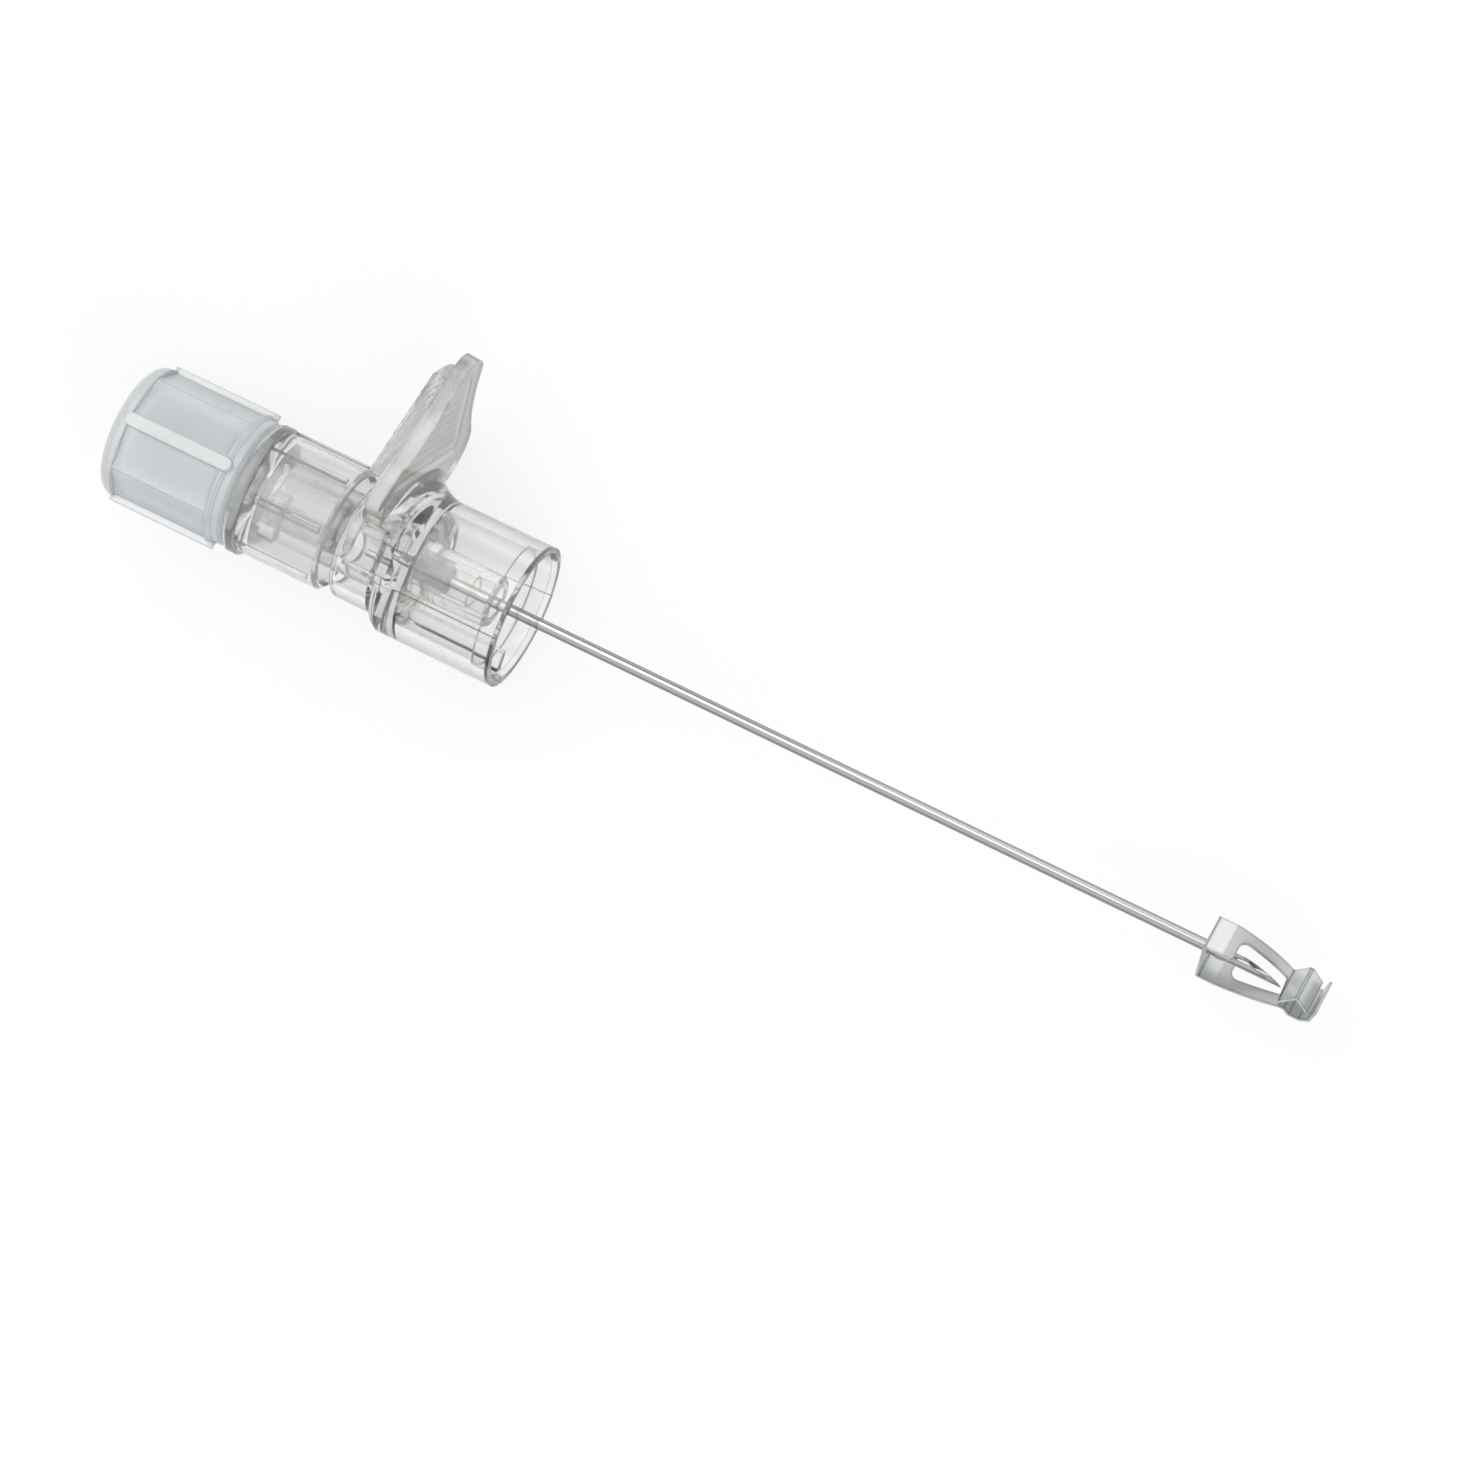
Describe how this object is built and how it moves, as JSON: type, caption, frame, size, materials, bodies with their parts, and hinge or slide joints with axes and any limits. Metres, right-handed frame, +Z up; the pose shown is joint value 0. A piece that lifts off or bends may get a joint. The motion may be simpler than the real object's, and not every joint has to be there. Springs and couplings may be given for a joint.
{
  "type": "safety cannula needle assembly",
  "caption": "Introducer needle of a safety cannula: clear hub with thumb plate, flash plug with cap, and a folded clip closed over the needle point.",
  "frame": {"origin": "on the needle axis, in the plane of the shroud's front mouth", "axes": "+X along the needle towards its point, +Z up with the part lying on its side, thumb plate towards +Y"},
  "size_m": [0.0952, 0.0215, 0.014],
  "materials": {
    "clear_moulding": "clear gloss",
    "milky_moulding": "milky satin",
    "adhesive": "cured resin",
    "membrane": "matt",
    "needle_steel": "drawn bright",
    "spring_steel": "satin rolled"
  },
  "bodies": {
    "hub": {"needle_hub": "clear_moulding", "glue_bead": "adhesive", "needle": "needle_steel"},
    "plug": {"flash_plug": "clear_moulding", "filter_disc": "membrane"},
    "cap": {"rear_cap": "milky_moulding"},
    "clip": {"safety_clip": "spring_steel"}
  },
  "joints": [
    {"name": "plug_off", "type": "slide", "parent": "hub", "child": "plug", "axis": [-1, 0, 0], "range_m": [0, 0.012]},
    {"name": "cap_off", "type": "slide", "parent": "plug", "child": "cap", "axis": [-1, 0, 0], "range_m": [0, 0.009]},
    {"name": "clip_spin", "type": "hinge", "parent": "hub", "child": "clip", "pos_m": [0.0542, 0, 0], "axis": [1, 0, 0], "continuous": true}
  ]
}
